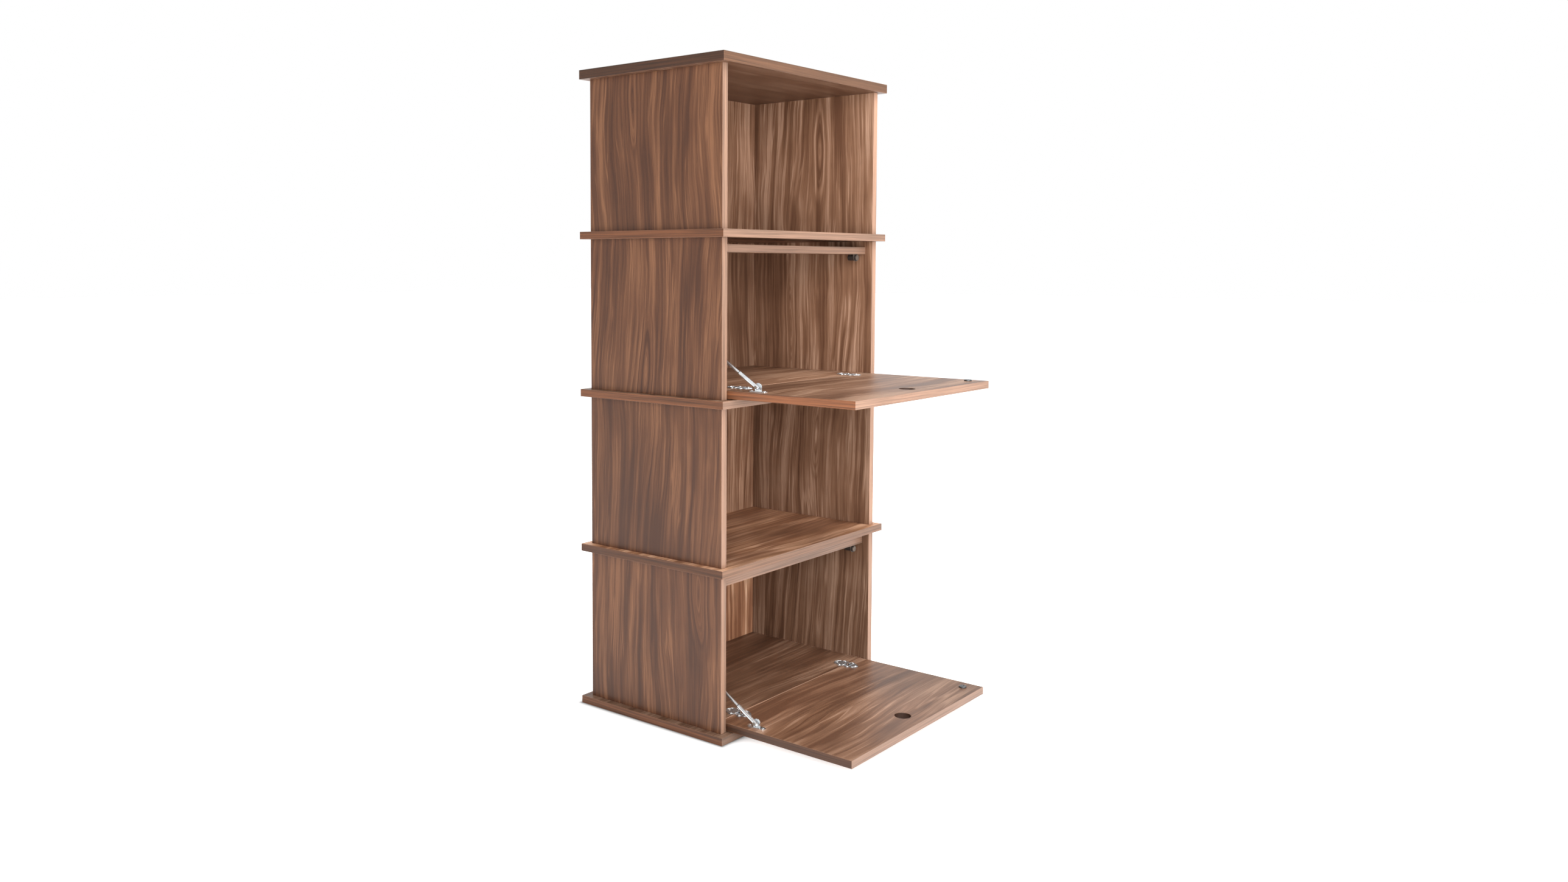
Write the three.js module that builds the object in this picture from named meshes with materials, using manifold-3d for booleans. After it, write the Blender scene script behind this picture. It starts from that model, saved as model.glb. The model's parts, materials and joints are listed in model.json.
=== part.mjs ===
// Cube storage unit: a tower of four stacked bays in walnut veneer.
// Bays 1 and 3 (counted from the floor) have a drop-down door, bays 2 and 4 are open.
//
// Frame: millimetres, +X to the right when facing the unit, +Y to the back, +Z up.
// The origin is the centre of the base board's underside. Both doors are modelled open,
// lying level with the floor panel inside their bay.

import * as THREE from 'three';
import { mergeVertices } from 'three/addons/utils/BufferGeometryUtils.js';
import Module from 'manifold-3d';

const wasm = await Module();
wasm.setup();

// ---------------------------------------------------------------- carcass
const WIDTH = 680;
const DEPTH = 440;
const BOARD_THICKNESS = 18;
const TOP_THICKNESS = 22;
const PANEL_THICKNESS = 18;
const PANEL_HEIGHT = 362;
const BAY_COUNT = 4;
const SIDE_OVERHANG = 18;
const FRONT_OVERHANG = 17;
const BACK_OVERHANG = 19;
const BACK_PANEL_RECESS = 5.5;

const HALF_WIDTH = WIDTH / 2;
const BOARD_FRONT = -DEPTH / 2;
const BOARD_BACK = DEPTH / 2;
const SIDE_OUTER = HALF_WIDTH - SIDE_OVERHANG;
const SIDE_INNER = SIDE_OUTER - PANEL_THICKNESS;
const SIDE_FRONT = BOARD_FRONT + FRONT_OVERHANG;
const SIDE_BACK = BOARD_BACK - BACK_OVERHANG;
const BACK_PANEL_REAR = SIDE_BACK - BACK_PANEL_RECESS;
const BACK_PANEL_FACE = BACK_PANEL_REAR - PANEL_THICKNESS;
const BAY_PITCH = PANEL_HEIGHT + BOARD_THICKNESS;

// ---------------------------------------------------------------- door bays
// Heights inside a bay are counted from the top face of the board below it.
const FLOOR_THICKNESS = 20;
const HEAD_THICKNESS = 18;
const HEAD_GAP = 15;
const HEAD_SETBACK = 21;
const HEAD_DEPTH = 90;
const DOOR_THICKNESS = 18;
const DOOR_LENGTH = 353;
const DOOR_SIDE_GAP = 2.5;
const DOOR_REAR_SETBACK = 19;
const DOOR_REAR_ROUNDING = 3;
const DOOR_ROUNDING_STEPS = 5;
const JOINT_GAP = 1.8;

const HEAD_UNDERSIDE = PANEL_HEIGHT - HEAD_GAP - HEAD_THICKNESS;
const DOOR_REAR = SIDE_FRONT + DOOR_REAR_SETBACK;
const DOOR_FREE_EDGE = DOOR_REAR - DOOR_LENGTH;
const DOOR_HALF_WIDTH = SIDE_INNER - DOOR_SIDE_GAP;
const FLOOR_FRONT = DOOR_REAR + JOINT_GAP;

const FINGER_HOLE_RADIUS = 19;
const FINGER_HOLE_INSET = 52.5;

// ---------------------------------------------------------------- flap hinges
// The pivot lies inside the door: a little forward of its rear edge and below its inner face.
const HINGE_X = 230;
const PIVOT_INSET = 8;
const PIVOT_DEPTH = 5;
const PIVOT_Y = DOOR_REAR - PIVOT_INSET;
const PIVOT_Z = FLOOR_THICKNESS - PIVOT_DEPTH;

const CUP_RADIUS = 14.7;
const CUP_POCKET_RADIUS = 15;
const CUP_DEPTH = 11;
const CUP_INSET = 17;
const POCKET_DEPTH = 11.2;
const LEAF_THICKNESS = 1.2;
const LEAF_DISC_RADIUS = 17;
const LEAF_PLATE_INSET = 13;
const LEAF_HALF_WIDTH = 18;
const LEAF_SIDE_LOBE = { radius: 6, across: 15, inset: 11 };
const LEAF_END_LOBE = { radius: 6.5, inset: 27.5 };
const FLOOR_LEAF_SETBACK = 0.6;
const DOOR_LEAF_SETBACK = 2;
const ARM_SLOT_HALF_WIDTH = 7.3;
const ARM_SLOT_DEPTH = 10.5;
const FLOOR_SLOT_LENGTH = 21;
const ARM_NOTCH_HALF_WIDTH = 7.5;
const ARM_HALF_WIDTH = 6;
const ARM_HALF_HEIGHT = 3.5;
const ARM_EYE_RADIUS = 4;
const ARM_EYE_CLEARANCE = 1.5;
const ARM_REACH = 26;
const ARM_FOOT_LENGTH = 9;
const HINGE_PIN_RADIUS = 1.5;
const HINGE_PIN_HALF_LENGTH = 10.6;
const HINGE_PIN_END_GAP = 0.2;
const PIN_HOLE_IN_CUP = 1.56;
const PIN_HOLE_IN_ARM = 1.58;

// ---------------------------------------------------------------- door stay
// The arm is pinned to the door's bracket, and its far end runs in a guide on the left side panel.
const STAY_X = -283;
const STAY_PIVOT_Y = -270;
const STAY_PIVOT_Z = 31;
const STAY_SLOPE = THREE.MathUtils.degToRad(31.5);
const STAY_LENGTH = 190;
const STAY_TURN_PER_DOOR_TURN = 0.49;
const TUBE_RADIUS = 4.6;
const TUBE_START = -6;
const TUBE_END = 56;
const TUBE_BORE_RADIUS = 3.75;
const TUBE_BORE_START = 8;
const ROD_RADIUS = 3.4;
const ROD_START = 14;
const ROD_EYE_RADIUS = 4.8;
const RIVET_RADIUS = 2;
const RIVET_HOLE_IN_TUBE = 2.08;
const RIVET_HOLE_IN_EAR = 2.06;
const RIVET_HEAD_RADIUS = 3.4;
const RIVET_HEAD_THICKNESS = 1;
const RIVET_HEAD_OVERLAP = 0.5;
const RIVET_TUBE_GAP = 0.3;
const RIVET_EAR_GAP = 0.05;
const BRACKET_LENGTH = 48;
const BRACKET_WIDTH = 14;
const BRACKET_THICKNESS = 2;
const EAR_THICKNESS = 2;
const EAR_OFFSET = 5.4;
const EAR_RADIUS = 9;
const BRACKET_SCREW_SPACING = 36;
const BRACKET_SCREW_RADIUS = 2.2;
const ROLLER_RADIUS = 3;
const ROLLER_SHAFT_RADIUS = 1.7;
const ROLLER_SHAFT_HOLE = 1.9;
const ROLLER_END_GAP = 0.6;
const ROLLER_ROD_GAP = 1.2;
const ROLLER_SHAFT_OVERLAP = 0.5;
const WASHER_GAP = 0.3;
const WASHER_THICKNESS = 1.2;
const RAIL_THICKNESS = 8;
const RAIL_HALF_WIDTH = 9;
const RAIL_GROOVE_HALF_WIDTH = 3.4;
const RAIL_GROOVE_DEPTH = 5.4;
const RAIL_PATH_STEPS = 18;
const RAIL_END_STEPS = 12;

// ---------------------------------------------------------------- magnetic catch
const CATCH_X = 266;
const CATCH_Z = 319.5;
const CATCH_TIP_Y = -183;
const POLE_RADIUS = 6.8;
const POLE_LENGTH = 2.5;
const POLE_CHAMFER = { across: 0.6, along: 0.4 };
const POLE_RING = { outer: 4.6, inner: 3, depth: 0.7 };
const POLE_BUTTON_DEPTH = 0.2;
const CASE_RADIUS = 7.4;
const CASE_FLANGE_RADIUS = 8.2;
const CASE_FLANGE_LENGTH = 3.5;
const CASE_LENGTH = 24;
const CATCH_PLATE = {
  halfWidth: 11,
  footLength: 15,
  thickness: 1.2,
  shoulder: 3,
  ringRadius: 9.2,
  holeRadius: 7.7,
  flangeGap: 0.3,
};
const STRIKE_INSET = 37.5;
const STRIKE_RADIUS = 9.25;
const STRIKE_THICKNESS = 3.5;
const STRIKE_HOLE_RADIUS = 2;
const STRIKE_SINK_RADIUS = 4.2;
const STRIKE_SINK_DEPTH = 2.2;
const STRIKE_CHAMFER = 0.6;

// ---------------------------------------------------------------- drawing
// The number of sides on round parts, and how far a cutting tool reaches past the face it cuts.
const VERY_FINE = 48;
const FINE = 36;
const COARSE = 24;
const SMALL = 16;
const CURVE_STEPS = 12;
const OVERCUT = 1;

// ---------------------------------------------------------------- materials
const walnut = new THREE.MeshStandardMaterial({ color: 0x7a543c, roughness: 0.55, metalness: 0 });
const chrome = new THREE.MeshStandardMaterial({ color: 0xc9cdd0, roughness: 0.15, metalness: 1 });
const nickel = new THREE.MeshStandardMaterial({ color: 0xa9adb0, roughness: 0.3, metalness: 1 });
const darkPlastic = new THREE.MeshStandardMaterial({ color: 0x23282a, roughness: 0.45, metalness: 0 });
const darkSteel = new THREE.MeshStandardMaterial({ color: 0x55595b, roughness: 0.35, metalness: 1 });

// ---------------------------------------------------------------- geometry helpers

// A box given by its two limits along each axis.
function box(x0, x1, y0, y1, z0, z1) {
  const geometry = new THREE.BoxGeometry(x1 - x0, y1 - y0, z1 - z0);
  geometry.translate((x0 + x1) / 2, (y0 + y1) / 2, (z0 + z1) / 2);
  return geometry;
}

// A cylinder along Z that stands on z0 and ends at z1.
function cylinderZ(radius, x, y, z0, z1, sides = FINE) {
  const geometry = new THREE.CylinderGeometry(radius, radius, z1 - z0, sides);
  geometry.rotateX(Math.PI / 2);
  geometry.translate(x, y, (z0 + z1) / 2);
  return geometry;
}

// A cylinder along X from x0 to x1.
function cylinderX(radius, x0, x1, y, z, sides = COARSE) {
  const geometry = new THREE.CylinderGeometry(radius, radius, x1 - x0, sides);
  geometry.rotateZ(-Math.PI / 2);
  geometry.translate((x0 + x1) / 2, y, z);
  return geometry;
}

// A cylinder along Y from y0 to y1.
function cylinderY(radius, x, y0, y1, z, sides = COARSE) {
  const geometry = new THREE.CylinderGeometry(radius, radius, y1 - y0, sides);
  geometry.translate(x, (y0 + y1) / 2, z);
  return geometry;
}

// A shape drawn in the Y-Z plane, extruded from x0 to x1.
function extrudeX(shape, x0, x1, curveSegments = CURVE_STEPS) {
  const geometry = new THREE.ExtrudeGeometry(shape, {
    depth: x1 - x0,
    bevelEnabled: false,
    curveSegments,
  });
  const alongX = new THREE.Matrix4().makeBasis(
    new THREE.Vector3(0, 1, 0),
    new THREE.Vector3(0, 0, 1),
    new THREE.Vector3(1, 0, 0),
  );
  geometry.applyMatrix4(alongX);
  geometry.translate(x0, 0, 0);
  return geometry;
}

// A shape drawn in the X-Z plane about x, extruded from y0 to y1.
function extrudeY(shape, x, y0, y1, curveSegments = CURVE_STEPS) {
  const geometry = new THREE.ExtrudeGeometry(shape, {
    depth: y1 - y0,
    bevelEnabled: false,
    curveSegments,
  });
  geometry.rotateX(Math.PI / 2);
  geometry.translate(x, y1, 0);
  return geometry;
}

// A closed geometry as a solid that can be joined and cut.
function solidOf(geometry) {
  const bare = geometry.clone();
  bare.deleteAttribute('normal');
  bare.deleteAttribute('uv');
  const merged = mergeVertices(bare, 1e-4);
  return new wasm.Manifold(new wasm.Mesh({
    numProp: 3,
    vertProperties: new Float32Array(merged.attributes.position.array),
    triVerts: new Uint32Array(merged.index.array),
  }));
}

function geometryOf(solid) {
  const mesh = solid.getMesh();
  const geometry = new THREE.BufferGeometry();
  geometry.setAttribute('position', new THREE.BufferAttribute(mesh.vertProperties, 3));
  geometry.setIndex(new THREE.BufferAttribute(mesh.triVerts, 1));
  return geometry;
}

function joined(...geometries) {
  return geometryOf(geometries.map(solidOf).reduce((whole, piece) => whole.add(piece)));
}

function cut(geometry, ...tools) {
  return geometryOf(tools.map(solidOf).reduce((whole, tool) => whole.subtract(tool), solidOf(geometry)));
}

function part(name, geometry, material) {
  const mesh = new THREE.Mesh(geometry, material);
  mesh.name = name;
  return mesh;
}

// ---------------------------------------------------------------- boards and open bays

function board(name, underside, thickness) {
  const geometry = box(-HALF_WIDTH, HALF_WIDTH, BOARD_FRONT, BOARD_BACK, 0, thickness);
  const mesh = part(name, geometry, walnut);
  mesh.position.z = underside;
  return mesh;
}

function baySides(prefix) {
  const left = box(-SIDE_OUTER, -SIDE_INNER, SIDE_FRONT, SIDE_BACK, 0, PANEL_HEIGHT);
  const right = box(SIDE_INNER, SIDE_OUTER, SIDE_FRONT, SIDE_BACK, 0, PANEL_HEIGHT);
  const back = box(-SIDE_INNER, SIDE_INNER, BACK_PANEL_FACE, BACK_PANEL_REAR, 0, PANEL_HEIGHT);
  return [
    part(`${prefix}_left_side`, left, walnut),
    part(`${prefix}_right_side`, right, walnut),
    part(`${prefix}_back_panel`, back, walnut),
  ];
}

// ---------------------------------------------------------------- hinge pockets in the wood

// The round pocket and the notch that a hinge leaf needs. `edge` is the wood's edge at the joint
// and `inward` is +1 where the wood lies behind it (floor panel) and -1 where it lies in front (door).
function hingePocket(x, edge, inward) {
  const top = FLOOR_THICKNESS + OVERCUT;
  const bottom = FLOOR_THICKNESS - POCKET_DEPTH;
  const centre = edge + inward * CUP_INSET;
  const near = edge - inward * OVERCUT;
  const notch = box(
    x - ARM_NOTCH_HALF_WIDTH, x + ARM_NOTCH_HALF_WIDTH,
    Math.min(near, centre), Math.max(near, centre),
    bottom, top,
  );
  return joined(cylinderZ(CUP_POCKET_RADIUS, x, centre, bottom, top), notch);
}

function floorPanel(prefix) {
  const panel = box(-SIDE_INNER, SIDE_INNER, FLOOR_FRONT, BACK_PANEL_FACE, 0, FLOOR_THICKNESS);
  const pockets = [-HINGE_X, HINGE_X].map((x) => hingePocket(x, FLOOR_FRONT, 1));
  return part(`${prefix}_floor_panel`, cut(panel, ...pockets), walnut);
}

// The rail between the sides that the closed door stands below and the catch hangs from.
function headRail(prefix) {
  const front = SIDE_FRONT + HEAD_SETBACK;
  const top = HEAD_UNDERSIDE + HEAD_THICKNESS;
  const rail = box(-SIDE_INNER, SIDE_INNER, front, front + HEAD_DEPTH, HEAD_UNDERSIDE, top);
  return part(`${prefix}_head_rail`, rail, walnut);
}

// ---------------------------------------------------------------- door

// The door's lower rear edge is rounded so that it passes the board below as the door swings.
function door(prefix) {
  const top = FLOOR_THICKNESS;
  const bottom = FLOOR_THICKNESS - DOOR_THICKNESS;
  const profile = new THREE.Shape();
  profile.moveTo(DOOR_FREE_EDGE, bottom);
  profile.lineTo(DOOR_REAR - DOOR_REAR_ROUNDING, bottom);
  profile.absarc(
    DOOR_REAR - DOOR_REAR_ROUNDING, bottom + DOOR_REAR_ROUNDING, DOOR_REAR_ROUNDING,
    -Math.PI / 2, 0, false,
  );
  profile.lineTo(DOOR_REAR, top);
  profile.lineTo(DOOR_FREE_EDGE, top);
  profile.closePath();
  const slab = extrudeX(profile, -DOOR_HALF_WIDTH, DOOR_HALF_WIDTH, DOOR_ROUNDING_STEPS);
  const holeY = DOOR_FREE_EDGE + FINGER_HOLE_INSET;
  const fingerHole = cylinderZ(
    FINGER_HOLE_RADIUS, 0, holeY, bottom - OVERCUT, top + OVERCUT, VERY_FINE,
  );
  const pockets = [-HINGE_X, HINGE_X].map((x) => hingePocket(x, DOOR_REAR, -1));
  return part(`${prefix}_door`, cut(slab, fingerHole, ...pockets), walnut);
}

// ---------------------------------------------------------------- flap hinge

// The lobed cover plate of one hinge leaf, with a straight edge at the joint, and its cup below.
function hingeLeaf(x, edge, inward, setback) {
  const low = FLOOR_THICKNESS;
  const high = FLOOR_THICKNESS + LEAF_THICKNESS;
  const at = (inset) => edge + inward * inset;
  const seam = at(setback);
  const seamInner = at(LEAF_PLATE_INSET);
  const plateBlock = box(
    x - LEAF_HALF_WIDTH, x + LEAF_HALF_WIDTH,
    Math.min(seam, seamInner), Math.max(seam, seamInner), low, high,
  );
  const lobes = [-1, 1].map((side) => cylinderZ(
    LEAF_SIDE_LOBE.radius, x + side * LEAF_SIDE_LOBE.across, at(LEAF_SIDE_LOBE.inset), low, high,
  ));
  return joined(
    cylinderZ(CUP_RADIUS, x, at(CUP_INSET), low - CUP_DEPTH, high),
    cylinderZ(LEAF_DISC_RADIUS - setback, x, at(CUP_INSET), low, high),
    cylinderZ(LEAF_END_LOBE.radius, x, at(LEAF_END_LOBE.inset), low, high),
    plateBlock,
    ...lobes,
  );
}

function floorCup(name, x) {
  const leaf = hingeLeaf(x, FLOOR_FRONT, 1, FLOOR_LEAF_SETBACK);
  const slot = box(
    x - ARM_SLOT_HALF_WIDTH, x + ARM_SLOT_HALF_WIDTH,
    FLOOR_FRONT - OVERCUT, FLOOR_FRONT + FLOOR_SLOT_LENGTH,
    FLOOR_THICKNESS - ARM_SLOT_DEPTH, FLOOR_THICKNESS,
  );
  return part(name, cut(leaf, slot), nickel);
}

function doorCup(name, x) {
  const leaf = hingeLeaf(x, DOOR_REAR, -1, DOOR_LEAF_SETBACK);
  const slot = box(
    x - ARM_SLOT_HALF_WIDTH, x + ARM_SLOT_HALF_WIDTH,
    PIVOT_Y - ARM_EYE_RADIUS - ARM_EYE_CLEARANCE, DOOR_REAR + OVERCUT,
    FLOOR_THICKNESS - ARM_SLOT_DEPTH, FLOOR_THICKNESS + LEAF_THICKNESS + OVERCUT,
  );
  const boreHalf = HINGE_PIN_HALF_LENGTH + HINGE_PIN_END_GAP;
  const pinBore = cylinderX(PIN_HOLE_IN_CUP, x - boreHalf, x + boreHalf, PIVOT_Y, PIVOT_Z);
  return part(name, cut(leaf, slot, pinBore), nickel);
}

// The arm is fixed in the floor cup and reaches across the joint to the pivot in the door cup.
function hingeArm(name, x) {
  const bar = box(
    x - ARM_HALF_WIDTH, x + ARM_HALF_WIDTH, PIVOT_Y, PIVOT_Y + ARM_REACH,
    PIVOT_Z - ARM_HALF_HEIGHT, PIVOT_Z + ARM_HALF_HEIGHT,
  );
  const foot = box(
    x - ARM_HALF_WIDTH, x + ARM_HALF_WIDTH,
    PIVOT_Y + ARM_REACH - ARM_FOOT_LENGTH, PIVOT_Y + ARM_REACH,
    FLOOR_THICKNESS - ARM_SLOT_DEPTH, PIVOT_Z,
  );
  const eye = cylinderX(ARM_EYE_RADIUS, x - ARM_HALF_WIDTH, x + ARM_HALF_WIDTH, PIVOT_Y, PIVOT_Z);
  const holeHalf = ARM_HALF_WIDTH + OVERCUT;
  const hole = cylinderX(PIN_HOLE_IN_ARM, x - holeHalf, x + holeHalf, PIVOT_Y, PIVOT_Z);
  return part(name, cut(joined(bar, foot, eye), hole), nickel);
}

function hingePin(name, x) {
  const half = HINGE_PIN_HALF_LENGTH;
  return part(name, cylinderX(HINGE_PIN_RADIUS, x - half, x + half, PIVOT_Y, PIVOT_Z), darkSteel);
}

function flapHinge(prefix, x) {
  return [
    floorCup(`${prefix}_floor_cup`, x),
    hingeArm(`${prefix}_arm`, x),
    doorCup(`${prefix}_door_cup`, x),
    hingePin(`${prefix}_pin`, x),
  ];
}

// ---------------------------------------------------------------- door stay

// The roller's centre in the Y-Z plane when the door has turned by `turn` towards closed.
function rollerCentre(turn) {
  const armY = STAY_PIVOT_Y - PIVOT_Y;
  const armZ = STAY_PIVOT_Z - PIVOT_Z;
  const endY = PIVOT_Y + armY * Math.cos(turn) + armZ * Math.sin(turn);
  const endZ = PIVOT_Z - armY * Math.sin(turn) + armZ * Math.cos(turn);
  const slope = STAY_SLOPE + STAY_TURN_PER_DOOR_TURN * turn;
  return new THREE.Vector2(
    endY + STAY_LENGTH * Math.cos(slope),
    endZ + STAY_LENGTH * Math.sin(slope),
  );
}

// The outline at a constant distance from the roller's path, with a half circle at each end.
function pathOutline(distance) {
  const steps = RAIL_PATH_STEPS;
  const turns = Array.from({ length: steps + 1 }, (_, i) => (i / steps) * (Math.PI / 2));
  const centres = turns.map(rollerCentre);
  const headings = centres.map((_, i) => {
    const after = centres[Math.min(i + 1, steps)];
    const before = centres[Math.max(i - 1, 0)];
    return after.clone().sub(before).angle();
  });
  const quarter = Math.PI / 2;
  const offset = (i, angle) => new THREE.Vector2(
    centres[i].x + distance * Math.cos(angle),
    centres[i].y + distance * Math.sin(angle),
  );
  const points = [];
  const halfCircle = (i, from) => {
    for (let k = 1; k < RAIL_END_STEPS; k += 1) {
      points.push(offset(i, from + (k / RAIL_END_STEPS) * Math.PI));
    }
  };
  for (let i = 0; i <= steps; i += 1) points.push(offset(i, headings[i] - quarter));
  halfCircle(steps, headings[steps] - quarter);
  for (let i = steps; i >= 0; i -= 1) points.push(offset(i, headings[i] + quarter));
  halfCircle(0, headings[0] + quarter);
  return new THREE.Shape(points);
}

function stayRail(name) {
  const inner = -SIDE_INNER + RAIL_THICKNESS;
  const grooveFloor = inner - RAIL_GROOVE_DEPTH;
  const bar = extrudeX(pathOutline(RAIL_HALF_WIDTH), -SIDE_INNER, inner);
  const groove = extrudeX(pathOutline(RAIL_GROOVE_HALF_WIDTH), grooveFloor, inner + OVERCUT);
  return part(name, cut(bar, groove), darkSteel);
}

// The arm's pieces are drawn along +Y from the door pivot and turned up to the stay's slope.
function stayArm(prefix) {
  const tubeBody = cylinderY(TUBE_RADIUS, 0, TUBE_START, TUBE_END, 0);
  const tubeBore = cylinderY(TUBE_BORE_RADIUS, 0, TUBE_BORE_START, TUBE_END + OVERCUT, 0);
  const tubeSide = TUBE_RADIUS + OVERCUT;
  const rivetHole = cylinderX(RIVET_HOLE_IN_TUBE, -tubeSide, tubeSide, 0, 0);
  const tube = cut(tubeBody, tubeBore, rivetHole);

  const rodBody = cylinderY(ROD_RADIUS, 0, ROD_START, STAY_LENGTH, 0);
  const rodEye = cylinderX(ROD_EYE_RADIUS, -ROD_RADIUS, ROD_RADIUS, STAY_LENGTH, 0);
  const rodSide = ROD_RADIUS + OVERCUT;
  const shaftHole = cylinderX(ROLLER_SHAFT_HOLE, -rodSide, rodSide, STAY_LENGTH, 0);
  const rod = cut(joined(rodBody, rodEye), shaftHole);

  // The roller, its shaft through the rod's eye, and the washer that keeps it there.
  const grooveFloor = -SIDE_INNER + RAIL_THICKNESS - RAIL_GROOVE_DEPTH - STAY_X;
  const rollerEnd = grooveFloor + ROLLER_END_GAP;
  const rollerStart = -ROD_RADIUS - ROLLER_ROD_GAP;
  const shaftStart = rollerStart - ROLLER_SHAFT_OVERLAP;
  const washerStart = ROD_RADIUS + WASHER_GAP;
  const shaftEnd = washerStart + ROLLER_SHAFT_OVERLAP;
  const washerEnd = washerStart + WASHER_THICKNESS;
  const roller = joined(
    cylinderX(ROLLER_RADIUS, rollerEnd, rollerStart, STAY_LENGTH, 0),
    cylinderX(ROLLER_SHAFT_RADIUS, shaftStart, shaftEnd, STAY_LENGTH, 0),
    cylinderX(ROLLER_RADIUS, washerStart, washerEnd, STAY_LENGTH, 0),
  );

  const arm = new THREE.Group();
  arm.add(part(`${prefix}_stay_tube`, tube, chrome));
  arm.add(part(`${prefix}_stay_rod`, rod, chrome));
  arm.add(part(`${prefix}_stay_roller`, roller, darkPlastic));
  arm.position.set(STAY_X, STAY_PIVOT_Y, STAY_PIVOT_Z);
  arm.rotation.x = STAY_SLOPE;
  return arm;
}

// Foot of the stay: an oblong plate screwed to the door, with a round-topped ear beside the tube.
function stayBracket(name) {
  const radius = BRACKET_WIDTH / 2;
  const half = BRACKET_LENGTH / 2 - radius;
  const plateX = STAY_X + EAR_OFFSET;
  const earEnd = plateX + EAR_THICKNESS;
  const low = FLOOR_THICKNESS;
  const high = FLOOR_THICKNESS + BRACKET_THICKNESS;
  const front = STAY_PIVOT_Y - half;
  const rear = STAY_PIVOT_Y + half;
  const plate = joined(
    box(plateX - radius, plateX + radius, front, rear, low, high),
    cylinderZ(radius, plateX, front, low, high, COARSE),
    cylinderZ(radius, plateX, rear, low, high, COARSE),
  );
  const ear = joined(
    box(
      plateX, earEnd, STAY_PIVOT_Y - EAR_RADIUS, STAY_PIVOT_Y + EAR_RADIUS,
      low + BRACKET_THICKNESS / 2, STAY_PIVOT_Z,
    ),
    cylinderX(EAR_RADIUS, plateX, earEnd, STAY_PIVOT_Y, STAY_PIVOT_Z, FINE),
  );
  const screwHoles = [-1, 1].map((side) => {
    const y = STAY_PIVOT_Y + side * BRACKET_SCREW_SPACING / 2;
    return cylinderZ(BRACKET_SCREW_RADIUS, plateX, y, low - OVERCUT, high + OVERCUT, SMALL);
  });
  const rivetHole = cylinderX(
    RIVET_HOLE_IN_EAR, plateX - OVERCUT, earEnd + OVERCUT, STAY_PIVOT_Y, STAY_PIVOT_Z,
  );
  return part(name, cut(joined(plate, ear), rivetHole, ...screwHoles), chrome);
}

// A shaft through the ear and the tube, with a head on each side.
function stayRivet(name) {
  const earSide = STAY_X + EAR_OFFSET + EAR_THICKNESS + RIVET_EAR_GAP;
  const tubeSide = STAY_X - TUBE_RADIUS - RIVET_TUBE_GAP;
  const across = (radius, x0, x1) => cylinderX(radius, x0, x1, STAY_PIVOT_Y, STAY_PIVOT_Z);
  return part(name, joined(
    across(RIVET_RADIUS, tubeSide - RIVET_HEAD_OVERLAP, earSide + RIVET_HEAD_OVERLAP),
    across(RIVET_HEAD_RADIUS, earSide, earSide + RIVET_HEAD_THICKNESS),
    across(RIVET_HEAD_RADIUS, tubeSide - RIVET_HEAD_THICKNESS, tubeSide),
  ), chrome);
}

// ---------------------------------------------------------------- magnetic catch

// A disc with a groove around the button in its middle, turned about Y, with its face to the front.
function magnetPole(name) {
  const profile = [
    [0, POLE_LENGTH],
    [POLE_RADIUS, POLE_LENGTH],
    [POLE_RADIUS, POLE_CHAMFER.along],
    [POLE_RADIUS - POLE_CHAMFER.across, 0],
    [POLE_RING.outer, 0],
    [POLE_RING.outer, POLE_RING.depth],
    [POLE_RING.inner, POLE_RING.depth],
    [POLE_RING.inner, POLE_BUTTON_DEPTH],
    [0, POLE_BUTTON_DEPTH],
  ].map(([radius, height]) => new THREE.Vector2(radius, height));
  const geometry = new THREE.LatheGeometry(profile, COARSE);
  geometry.translate(CATCH_X, CATCH_TIP_Y, CATCH_Z);
  return part(name, geometryOf(outwardSolid(geometry)), chrome);
}

// A turned profile can come out with its faces pointing in, so it is turned right side out here.
function outwardSolid(geometry) {
  const solid = solidOf(geometry);
  if (solid.volume() > 0) return solid;
  const flipped = geometry.clone();
  const order = flipped.index.array;
  for (let i = 0; i < order.length; i += 3) {
    [order[i], order[i + 1]] = [order[i + 1], order[i]];
  }
  return solidOf(flipped);
}

function catchCase(name) {
  const front = CATCH_TIP_Y + POLE_LENGTH;
  const flangeEnd = front + CASE_FLANGE_LENGTH;
  const middle = (front + flangeEnd) / 2;
  return part(name, joined(
    cylinderY(CASE_FLANGE_RADIUS, CATCH_X, front, flangeEnd, CATCH_Z, FINE),
    cylinderY(CASE_RADIUS, CATCH_X, middle, front + CASE_LENGTH, CATCH_Z, FINE),
  ), darkPlastic);
}

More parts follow.
